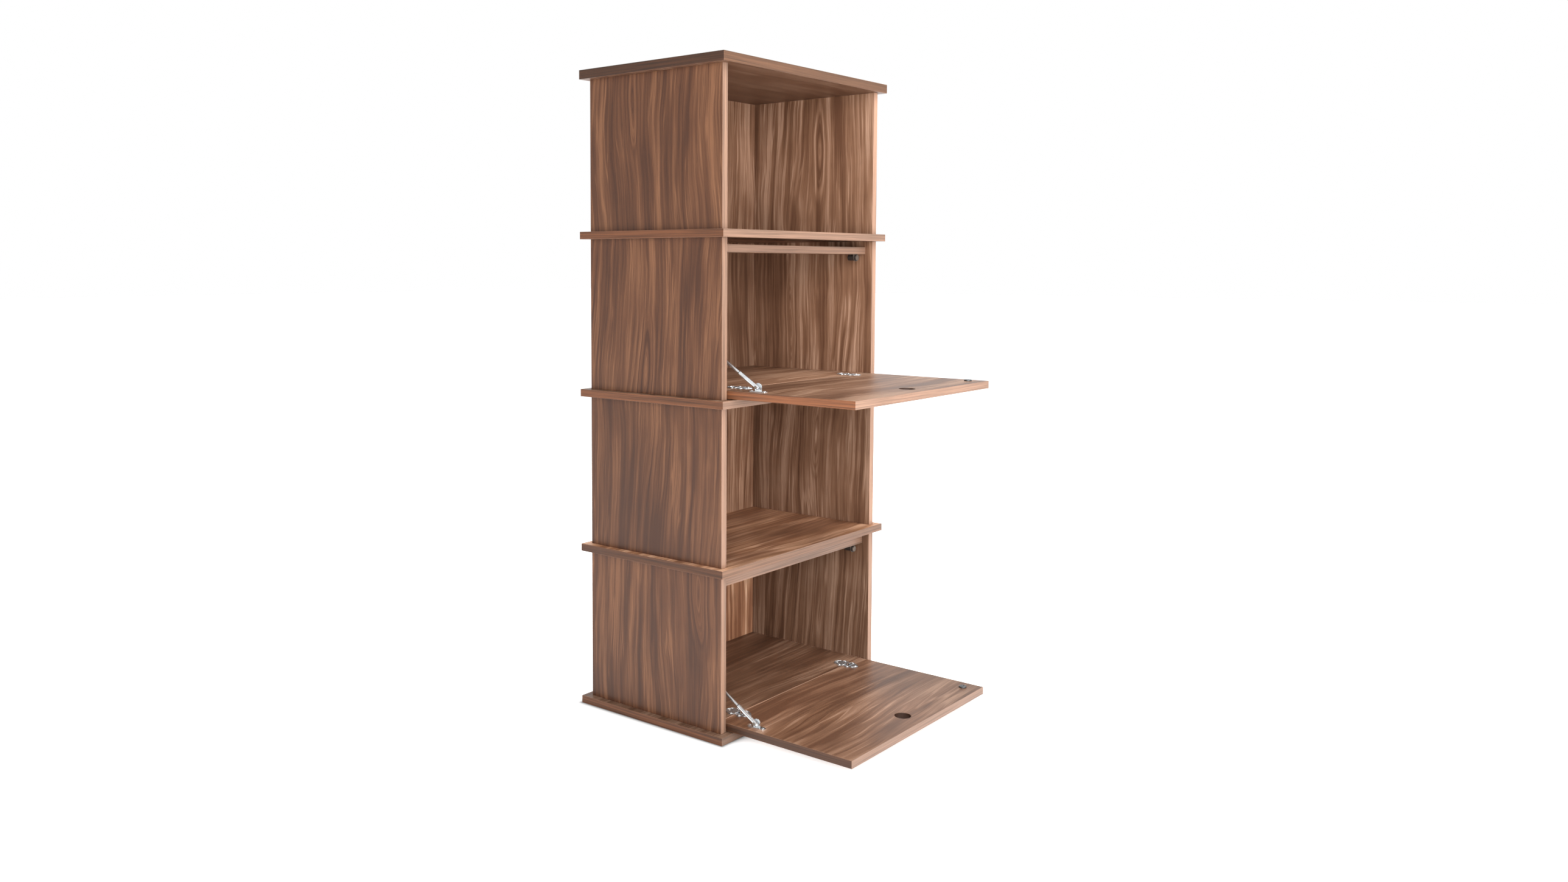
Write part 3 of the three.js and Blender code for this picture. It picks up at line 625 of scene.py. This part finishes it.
# The floor panels and head rails inside the bays are painted lighter: painted light.
BAY_BOARDS = {
    "bay1_floor_panel": dict(tone=1.05, front=1.1, end=1.0, density=0.55),
    "bay3_floor_panel": dict(tone=1.2, front=1.1, end=1.0, density=0.55),
    "bay1_head_rail": dict(tone=1.2, front=0.76, end=1.0, under=1.3),
    "bay3_head_rail": dict(tone=1.2, front=0.78, end=1.0, under=1.3),
    "bay1_door": dict(tone=1.1, front=0.72, end=0.48, density=0.55, painted_light_fades=DOOR_PAINTED_LIGHT),
    "bay3_door": dict(tone=1.07, front=0.82, end=0.84, density=0.55),
}

# How far the sharp edges of the back panels, the boards inside the bays and the doors are eased.
BACK_PANEL_EASE = 0.3 * MM
BAY_BOARD_EASE = 0.5 * MM
DOOR_EASE = 0.9 * MM

# The number before the first panel's: each panel's figure is drawn from its own number.
FIRST_SEED = 11


def edge_lines(node, axes):
    """Pale lines on the faces of a panel, along its limits on the given axes."""
    low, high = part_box(node)
    lines = []
    for end, axis in axes:
        i = AXES[axis]
        if end == "-":
            lines.append((axis, low[i], 1.0))
        else:
            lines.append((axis, high[i], -1.0))
    return lines


def finger_hole(bay):
    """The middle of a door's finger hole, from the opening that the record states."""
    for opening in frame["record"]["physics"]["openings"]:
        if opening["name"] == f"{bay}_finger_hole":
            low, high = opening["box_m"]
            return tuple((a + b) / 2 for a, b in zip(low, high))
    raise ValueError(f"no finger hole in {bay}")


def dress_wood():
    seed = FIRST_SEED
    for node, looks in SIDE_PANELS.items():
        seed += 1
        lines = edge_lines(node, ("-Y",))
        dress(node, walnut(f"walnut_{node}", "Z", "X", seed, lines=lines, **looks))
        ease_edges(node)
    for bay, tone in BACK_PANELS.items():
        seed += 1
        node = f"{bay}_back_panel"
        inner = (-1, tone)
        dress(node, walnut(f"walnut_{node}", "Z", "Y", seed, tone=BACK_PANEL_REAR, inner=inner))
        ease_edges(node, BACK_PANEL_EASE)
    for node, looks in BOARDS.items():
        seed += 1
        lines = edge_lines(node, ("-Y", "-X", "+X"))
        dress(node, walnut(f"walnut_{node}", "X", "Z", seed, lines=lines, **looks))
        ease_edges(node)
    for node, looks in BAY_BOARDS.items():
        seed += 1
        bay, _, panel = node.partition("_")
        is_door = panel == "door"
        # The pale lines along these boards' rear and side edges are partly a painted highlight.
        lines = edge_lines(node, ("-Y", "+Y", "-X", "+X"))
        hole = finger_hole(bay) if is_door else None
        dress(node, walnut(f"walnut_{node}", "X", "Z", seed, lines=lines, hole=hole, **looks))
        ease_edges(node, DOOR_EASE if is_door else BAY_BOARD_EASE)


dress_wood()


# ------------------------------------------------------------------ fittings: CAD parts

# Fittings in each door bay whose edges are eased, and those that stay as they are.
EASED_FITTINGS = {
    "stay_tube": CHROME,
    "stay_rod": CHROME,
    "stay_bracket": CHROME,
    "stay_rivet": DULL_NICKEL,
    "stay_rail": DARK_STEEL,
    "catch_bracket": DULL_NICKEL,
    "catch_case": DARK_PLASTIC,
    "strike_plate": STRIKE_STEEL,
}
PLAIN_FITTINGS = {"stay_roller": DARK_PLASTIC, "catch_pole": DULL_NICKEL}
HINGE_PIECES = {"floor_cup": SHADED_CHROME, "door_cup": SHADED_CHROME, "arm": CHROME}

HINGE_EASE = 0.5 * MM
FITTING_EASE = 0.25 * MM
FITTING_SHARP_ANGLE = 50


def dress_fittings():
    for bay in DOOR_BAYS:
        for hand in ("left", "right"):
            for piece, material in HINGE_PIECES.items():
                node = f"{bay}_{hand}_hinge_{piece}"
                dress(node, material)
                ease_edges(node, HINGE_EASE, 3, FITTING_SHARP_ANGLE)
            dress(f"{bay}_{hand}_hinge_pin", DARK_STEEL)
        for piece, material in EASED_FITTINGS.items():
            dress(f"{bay}_{piece}", material)
            ease_edges(f"{bay}_{piece}", FITTING_EASE, 2, FITTING_SHARP_ANGLE)
        for piece, material in PLAIN_FITTINGS.items():
            dress(f"{bay}_{piece}", material)


dress_fittings()


# ------------------------------------------------------------------ fittings: made pieces


def smooth_by_angle(obj, degrees):
    """Smooth shading except over sharp edges, worked out on the finished mesh."""
    mesh = obj.data
    for polygon in mesh.polygons:
        polygon.use_smooth = True
    mesh.set_sharp_from_angle(angle=math.radians(degrees))


def new_piece(name, mesh, material, body):
    """Makes an object from a bmesh, dresses it, and makes it ride on a body."""
    mesh.normal_update()
    data = bpy.data.meshes.new(name)
    mesh.to_mesh(data)
    mesh.free()
    data.materials.append(material)
    obj = bpy.data.objects.new(name, data)
    bpy.context.scene.collection.objects.link(obj)
    smooth_by_angle(obj, 60)
    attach(obj, body)
    return obj


# ------------------------------------------------------------------ fittings: screws

# A screw head's sizes, as shares of its radius: its cross recess, and the (radius, height) rings
# of its flank below the crown. The crown's own height differs from screw to screw.
CROSS_HALF_WIDTH = 0.16
CROSS_LENGTH = 0.56
CROSS_DEPTH = 0.55
CROSS_TAPER = 0.8
SKIRT_RINGS = ((1.0, -0.12), (1.0, 0.04))
SHOULDER_RADIUS = 0.9
SHOULDER_HEIGHT = 0.7
CROWN_RADIUS = 0.72
CROWN_HEIGHT = 0.22
FLAT_CROWN_HEIGHT = 0.16
FLATTEST_CROWN_HEIGHT = 0.12

# Points round each quarter of the head, and round all of it.
QUARTER_POINTS = 4
HEAD_POINTS = 4 * QUARTER_POINTS

# The screws' crosses are turned by one of a few steps, taken from their names.
TURN_STEP = 0.3
TURN_STEPS = 5

FACING_THE_SKY = (0, 0, 1)
FACING_THE_FLOOR = (0, 0, -1)


def number_from(text):
    """A number that depends on each letter of a text and on its place."""
    return sum(ord(c) * (i + 1) for i, c in enumerate(text))


def screw_head(name, place, up, radius, body, material, height=CROWN_HEIGHT):
    """A cross-recessed pan head whose rim sits at place, with its axis along up."""
    corner = math.atan2(CROSS_HALF_WIDTH, CROSS_LENGTH)
    quarter = [0.0, corner, math.pi / 4, math.pi / 2 - corner]
    tip = math.hypot(CROSS_LENGTH, CROSS_HALF_WIDTH)
    cross = [CROSS_LENGTH, tip, CROSS_HALF_WIDTH * math.sqrt(2), tip]
    mesh = bmesh.new()

    def ring(reaches, rise):
        """One ring of points, at each of the four reaches in turn, all at the same height."""
        made = []
        for k in range(HEAD_POINTS):
            angle = quarter[k % QUARTER_POINTS] + (k // QUARTER_POINTS) * math.pi / 2
            reach = radius * reaches[k % QUARTER_POINTS]
            spot = (reach * math.cos(angle), reach * math.sin(angle), radius * rise)
            made.append(mesh.verts.new(spot))
        return made

    def round_ring(reach, rise):
        return ring([reach] * QUARTER_POINTS, rise)

    rings = [round_ring(reach, rise) for reach, rise in SKIRT_RINGS]
    rings += [
        round_ring(SHOULDER_RADIUS, height * SHOULDER_HEIGHT),
        round_ring(CROWN_RADIUS, height),
        ring(cross, height),
        ring([reach * CROSS_TAPER for reach in cross], height - CROSS_DEPTH),
    ]
    for lower, upper in zip(rings, rings[1:]):
        for k in range(HEAD_POINTS):
            j = (k + 1) % HEAD_POINTS
            mesh.faces.new((lower[k], lower[j], upper[j], upper[k]))
    mesh.faces.new(rings[-1])
    mesh.faces.new(tuple(reversed(rings[0])))
    turn = Vector((0, 0, 1)).rotation_difference(Vector(up)).to_matrix().to_4x4()
    spin = Matrix.Rotation(TURN_STEP * (number_from(name) % TURN_STEPS), 4, "Z")
    mesh.transform(Matrix.Translation(place) @ turn @ spin)
    return new_piece(name, mesh, material, body)


# ------------------------------------------------------------------ fittings: hinge leaf rims

BEAD_RADIUS = 0.55 * MM
BEAD_INSET = 0.6 * MM
BEAD_STEPS = 5
# Points of an outline that are closer than this to the one before are left out.
SHORTEST_STEP = 0.1 * MM


def outline_of_top(node):
    """The closed outlines of a CAD part's highest flat face, as lists of points."""
    mesh = bmesh.new()
    mesh.from_mesh(nodes[node].data)
    bmesh.ops.remove_doubles(mesh, verts=mesh.verts, dist=WELD_DISTANCE)
    top = max(v.co.z for v in mesh.verts)
    flat = [f for f in mesh.faces if all(abs(v.co.z - top) < 2 * WELD_DISTANCE for v in f.verts)]
    follows = {}
    for face in flat:
        for loop in face.loops:
            shared = [f for f in loop.edge.link_faces if f in flat]
            if len(shared) == 1:
                follows[loop.vert.index] = loop.link_loop_next.vert.index
    places = [v.co.copy() for v in mesh.verts]
    mesh.free()
    outlines = []
    while follows:
        here = next(iter(follows))
        outline = []
        while here in follows:
            outline.append(places[here])
            here = follows.pop(here)
        outlines.append(outline)
    return outlines


def bead(name, node, body):
    """A raised half-round rim that follows the outline of a plate's upper face, just inside it."""
    mesh = bmesh.new()
    for outline in outline_of_top(node):
        points = [p for i, p in enumerate(outline) if (p - outline[i - 1]).length > SHORTEST_STEP]
        count = len(points)
        rings = []
        for i, point in enumerate(points):
            back = (point - points[i - 1]).normalized()
            ahead = (points[(i + 1) % count] - point).normalized()
            forward = (back + ahead).normalized()
            inward = Vector((-forward.y, forward.x, 0))
            middle = point + inward * BEAD_INSET
            ring = []
            for k in range(BEAD_STEPS + 1):
                angle = math.pi * k / BEAD_STEPS
                sideways = inward * (-math.cos(angle) * BEAD_RADIUS)
                upwards = Vector((0, 0, math.sin(angle) * BEAD_RADIUS))
                ring.append(mesh.verts.new(middle + (sideways + upwards)))
            rings.append(ring)
        for i in range(count):
            one, two = rings[i], rings[(i + 1) % count]
            for k in range(BEAD_STEPS):
                mesh.faces.new((one[k], two[k], two[k + 1], one[k + 1]))
            mesh.faces.new((one[BEAD_STEPS], two[BEAD_STEPS], two[0], one[0]))
    bmesh.ops.recalc_face_normals(mesh, faces=mesh.faces)
    return new_piece(name, mesh, CHROME, body)


# ------------------------------------------------------------------ fittings: stay collars

# The corners of the collar's cross-section: the share of the tube's radius, and how far beyond
# the tube's end, in millimetres.
COLLAR_PROFILE = (
    (0.78, 0.2),
    (0.78, 0.9),
    (0.9, 1.2),
    (1.05, 0.8),
    (1.05, -0.2),
    (1.0, -0.5),
    (1.0, 0.2),
)
COLLAR_SIDES = 32


def stay_collar(bay, level):
    """The dark ring where the rod runs out of the stay's tube."""
    joint = next(j for j in frame["joints"] if j["name"] == f"{level}_stay_pivot")
    pivot = Vector(joint["pos_m"])
    low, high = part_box(f"{bay}_stay_roller")
    far = (low + high) / 2
    axis = Vector((0, far.y - pivot.y, far.z - pivot.z)).normalized()
    tube = nodes[f"{bay}_stay_tube"].data
    reach = max((v.co - pivot).dot(axis) for v in tube.vertices)
    low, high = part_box(f"{bay}_stay_tube")
    middle = Vector(((low.x + high.x) / 2, pivot.y, pivot.z))
    tube_radius = (high.x - low.x) / 2
    across = Vector((1, 0, 0))
    upward = axis.cross(across)
    mesh = bmesh.new()
    rings = []
    for k in range(COLLAR_SIDES):
        turn = 2 * math.pi * k / COLLAR_SIDES
        outward = across * math.cos(turn) + upward * math.sin(turn)
        rings.append([
            mesh.verts.new(middle + axis * (reach + beyond * MM) + outward * (tube_radius * share))
            for share, beyond in COLLAR_PROFILE
        ])
    corners = len(COLLAR_PROFILE)
    for k in range(COLLAR_SIDES):
        one, two = rings[k], rings[(k + 1) % COLLAR_SIDES]
        for i in range(corners):
            j = (i + 1) % corners
            mesh.faces.new((one[i], one[j], two[j], two[i]))
    bmesh.ops.recalc_face_normals(mesh, faces=mesh.faces)
    return new_piece(f"{bay}_stay_collar", mesh, DARK_PLASTIC, f"{level}_stay")


# ------------------------------------------------------------------ fittings: where screws go

# The three screws of a hinge leaf, in millimetres to the right of its middle and away from the
# seam between door and floor panel.
FLOOR_LEAF_SCREWS = ((-15, 10.4), (15, 10.4), (0, 26.6))
DOOR_LEAF_SCREWS = ((-15, 9), (15, 9), (0, 25.2))
LEAF_SCREW_RADIUS = 3.7 * MM

# The two screws of a stay's bracket: how far from its middle, and how high its base plate is.
STAY_SCREW_OFFSET = 18 * MM
STAY_SCREW_RADIUS = 3.3 * MM
STAY_BASE_THICKNESS = 2 * MM

# The screw in a strike plate, and how deep its head sits.
STRIKE_SCREW_RADIUS = 3.6 * MM
STRIKE_SCREW_DEPTH = 0.9 * MM

# The two screws of a catch's bracket: how far from its middle and from its rear end, and how
# thick its upper flange is.
CATCH_SCREW_OFFSET = 7.5 * MM
CATCH_SCREW_SETBACK = 5 * MM
CATCH_SCREW_RADIUS = 2.6 * MM
CATCH_FLANGE_THICKNESS = 1.2 * MM


def middle_of(node):
    """The middle of a piece seen from above, with its lowest and highest corners."""
    low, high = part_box(node)
    return (low.x + high.x) / 2, (low.y + high.y) / 2, low, high


def finish_hinge_leaf(bay, hand, piece, body):
    """The rim and the three screws of one hinge leaf."""
    node = f"{bay}_{hand}_hinge_{piece}"
    bead(f"{bay}_{hand}_{piece}_rim", node, body)
    x, _, low, high = middle_of(node)
    on_door = piece == "door_cup"
    seam = high.y if on_door else low.y
    away = -1 if on_door else 1
    spots = DOOR_LEAF_SCREWS if on_door else FLOOR_LEAF_SCREWS
    for k, (right, back) in enumerate(spots):
        place = (x + right * MM, seam + away * (back * MM), high.z)
        name = f"{bay}_{hand}_{piece}_screw_{k + 1}"
        screw_head(name, place, FACING_THE_SKY, LEAF_SCREW_RADIUS, body, CHROME)


def screw_stay_bracket(bay, door):
    x, y, low, _ = middle_of(f"{bay}_stay_bracket")
    for k, side in enumerate((-1, 1)):
        place = (x, y + side * STAY_SCREW_OFFSET, low.z + STAY_BASE_THICKNESS)
        name = f"{bay}_stay_screw_{k + 1}"
        screw_head(name, place, FACING_THE_SKY, STAY_SCREW_RADIUS, door, CHROME, FLAT_CROWN_HEIGHT)


def screw_strike_plate(bay, door):
    x, y, _, high = middle_of(f"{bay}_strike_plate")
    place = (x, y, high.z - STRIKE_SCREW_DEPTH)
    screw_head(f"{bay}_strike_screw", place, FACING_THE_SKY, STRIKE_SCREW_RADIUS, door, DARK_STEEL,
               FLATTEST_CROWN_HEIGHT)


def screw_catch_bracket(bay):
    x, _, _, high = middle_of(f"{bay}_catch_bracket")
    y = high.y - CATCH_SCREW_SETBACK
    z = high.z - CATCH_FLANGE_THICKNESS
    for k, side in enumerate((-1, 1)):
        place = (x + side * CATCH_SCREW_OFFSET, y, z)
        name = f"{bay}_catch_screw_{k + 1}"
        screw_head(name, place, FACING_THE_FLOOR, CATCH_SCREW_RADIUS, "carcass", CHROME)


def finish_fittings():
    for bay, level in DOOR_BAYS.items():
        door = f"{level}_door"
        for hand in ("left", "right"):
            finish_hinge_leaf(bay, hand, "floor_cup", "carcass")
            finish_hinge_leaf(bay, hand, "door_cup", door)
        stay_collar(bay, level)
        screw_stay_bracket(bay, door)
        screw_strike_plate(bay, door)
        screw_catch_bracket(bay)


finish_fittings()


# ------------------------------------------------------------------ studio: surround

# How much of the white surround's brightness lights the unit: the softboxes do the rest.
SURROUND_LIGHT = 0.3
# A dark flag in front of the unit, to the left, gives the metal its dark lines.
FLAG_DIRECTION = (-0.72, -0.62, 0.15)
FLAG_EDGE = 0.62
FLAG_EDGE_WIDTH = 0.12
FLAG_BRIGHTNESS = 0.08


def make_surround():
    scene = bpy.context.scene
    scene.view_settings.view_transform = "Standard"
    scene.view_settings.look = "None"
    world = bpy.data.worlds.new("studio_surround")
    scene.world = world
    world.use_nodes = True
    background = world.node_tree.nodes["Background"]
    background.inputs["Color"].default_value = (1.0, 1.0, 1.0, 1.0)
    light_the_surround(world.node_tree, background)


def light_the_surround(tree, background):
    """White to look at, dimmer as a light, and with a dark flag that polished metal mirrors."""
    def node(kind, **settings):
        made = tree.nodes.new(kind)
        for key, value in settings.items():
            setattr(made, key, value)
        return made

    def blend(switch, off, on):
        made = node("ShaderNodeMix")
        for value, socket in ((switch, made.inputs[0]), (off, made.inputs[2]), (on, made.inputs[3])):
            if isinstance(value, bpy.types.NodeSocket):
                tree.links.new(value, socket)
            else:
                socket.default_value = value
        return made.outputs[0]

    rays = node("ShaderNodeLightPath").outputs
    towards_flag = node("ShaderNodeVectorMath", operation="DOT_PRODUCT")
    tree.links.new(node("ShaderNodeTexCoord").outputs["Generated"], towards_flag.inputs[0])
    towards_flag.inputs[1].default_value = Vector(FLAG_DIRECTION).normalized()
    flag = node("ShaderNodeMapRange", interpolation_type="SMOOTHSTEP")
    tree.links.new(towards_flag.outputs["Value"], flag.inputs["Value"])
    flag.inputs["From Min"].default_value = FLAG_EDGE
    flag.inputs["From Max"].default_value = FLAG_EDGE + FLAG_EDGE_WIDTH
    mirrored = blend(flag.outputs["Result"], 1.0, FLAG_BRIGHTNESS)
    strength = blend(rays["Is Glossy Ray"], 1.0, mirrored)
    strength = blend(rays["Is Diffuse Ray"], strength, SURROUND_LIGHT)
    tree.links.new(strength, background.inputs["Strength"])


# ------------------------------------------------------------------ studio: floor

# The floor reaches this far each way, and lies just under the unit so that they don't touch.
FLOOR_REACH = 40.0
FLOOR_DROP = 0.2 * MM
FLOOR_DARKER = (0.86, 0.86, 0.86, 1)
FLOOR_LIGHTER = (0.9, 0.9, 0.9, 1)
FLOOR_IN_SHADOW = (0.1, 0.1, 0.1, 1)
# The floor is backlit, a little less under the unit, so that it is as white as the surround.
FLOOR_GLOW_NEAR = 0.62
FLOOR_GLOW_FAR = 1.0
FLOOR_GLOW_FADE = (1.2, 2.6)
# The thin shadow where the base board stands on the floor, and how quickly it fades, in metres.
CONTACT_SHADOW = 0.92
CONTACT_SHADOW_REACH = 0.012


def closeness_to_base(s, spot):
    """1 under the base board and fading to 0 away from its outline."""
    low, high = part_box("base_board")
    gaps = []
    for i in (0, 1):
        from_middle = s.absolute(s.minus(spot[i], (low[i] + high[i]) / 2))
        gaps.append(s.larger(s.minus(from_middle, (high[i] - low[i]) / 2), 0.0))
    gap = s.length(*gaps)
    return s.math("EXPONENT", s.times(gap, -1.0 / CONTACT_SHADOW_REACH))


def floor_material():
    s = Shader("pale_studio_floor")
    place = s.node("ShaderNodeTexCoord").outputs["Object"]
    spot = s.separate(place)
    shadow = s.times(closeness_to_base(s, spot), CONTACT_SHADOW)
    tint = s.ramp(s.noise(place, 0.6, 1.0), [(0.3, FLOOR_DARKER), (0.7, FLOOR_LIGHTER)])
    s.set(Base_Color=s.mix(shadow, tint, FLOOR_IN_SHADOW), Roughness=0.9)
    s.surface.inputs["Specular IOR Level"].default_value = 0.1
    s.surface.inputs["Emission Color"].default_value = (1, 1, 1, 1)
    glow = s.remap(s.length(spot[0], spot[1]), *FLOOR_GLOW_FADE, FLOOR_GLOW_NEAR, FLOOR_GLOW_FAR)
    s.put(s.times(glow, s.minus(1.0, shadow)), s.surface.inputs["Emission Strength"])
    return s.material


def make_floor():
    mesh = bpy.data.meshes.new("studio_floor")
    corners = [(x * FLOOR_REACH, y * FLOOR_REACH, 0) for x, y in ((-1, -1), (1, -1), (1, 1), (-1, 1))]
    mesh.from_pydata(corners, [], [(0, 1, 2, 3)])
    floor = bpy.data.objects.new("studio_floor", mesh)
    bpy.context.scene.collection.objects.link(floor)
    floor.location.z = -FLOOR_DROP
    mesh.materials.append(floor_material())


# ------------------------------------------------------------------ studio: softboxes

# The height at the middle of the unit that every softbox points at.
AIM_HEIGHT = 0.8
# The softboxes to the right and at the back, which metal doesn't mirror.
SIDE_SOFTBOX = dict(height=1.8, distance=4.2, size=2.4, power=120, mirrored=False)


def soft_light(name, azimuth, height, distance, size, power, mirrored=True):
    """A square softbox that points at the middle of the unit. Azimuth 0 is in front of it."""
    light = bpy.data.lights.new(name, "AREA")
    light.shape = "SQUARE"
    light.size = size
    light.energy = power
    lamp = bpy.data.objects.new(name, light)
    bpy.context.scene.collection.objects.link(lamp)
    lamp.visible_glossy = mirrored
    a = math.radians(azimuth)
    lamp.location = (math.sin(a) * distance, -math.cos(a) * distance, height)
    aim = Vector((0, 0, AIM_HEIGHT)) - lamp.location
    lamp.rotation_mode = "QUATERNION"
    lamp.rotation_quaternion = aim.to_track_quat("-Z", "Y")


def make_softboxes():
    soft_light("key_softbox", azimuth=-52, height=1.4, distance=4.2, size=2.6, power=190)
    soft_light("high_softbox", azimuth=-47, height=3.2, distance=4.0, size=2.6, power=60)
    soft_light("front_softbox", azimuth=-10, height=1.6, distance=4.2, size=2.2, power=40)
    soft_light("top_softbox", azimuth=15, height=4.0, distance=2.2, size=2.0, power=150)
    soft_light("right_softbox", azimuth=100, **SIDE_SOFTBOX)
    soft_light("back_softbox", azimuth=185, **SIDE_SOFTBOX)


make_surround()
make_floor()
make_softboxes()


# ------------------------------------------------------------------ camera

# Where the camera stands, in metres, and how it is turned, in degrees. It is pitched down.
CAMERA_PLACE = (-2.4728, -1.8985, 1.0762)
CAMERA_YAW = -49.948
CAMERA_PITCH = 4.0
CAMERA_ROLL = 0.04
CAMERA_LENS = 28.442
CAMERA_SENSOR = 36.0
CAMERA_SHIFT = (0.0643, -0.0564)
NEAREST_SEEN = 0.05
FARTHEST_SEEN = 100.0


def make_camera():
    data = bpy.data.cameras.new("camera")
    data.sensor_fit = "HORIZONTAL"
    data.sensor_width = CAMERA_SENSOR
    data.lens = CAMERA_LENS
    data.shift_x, data.shift_y = CAMERA_SHIFT
    data.clip_start = NEAREST_SEEN
    data.clip_end = FARTHEST_SEEN
    camera = bpy.data.objects.new("camera", data)
    bpy.context.scene.collection.objects.link(camera)
    yaw, pitch, roll = (math.radians(v) for v in (CAMERA_YAW, CAMERA_PITCH, CAMERA_ROLL))
    forward = Vector((
        -math.sin(yaw) * math.cos(pitch),
        math.cos(yaw) * math.cos(pitch),
        -math.sin(pitch),
    ))
    level = Vector((math.cos(yaw), math.sin(yaw), 0))
    upright = level.cross(forward)
    right = math.cos(roll) * level + math.sin(roll) * upright
    up = -math.sin(roll) * level + math.cos(roll) * upright
    turn = Matrix((right, up, -forward)).transposed()
    camera.matrix_world = Matrix.Translation(CAMERA_PLACE) @ turn.to_4x4()
    bpy.context.scene.camera = camera


make_camera()
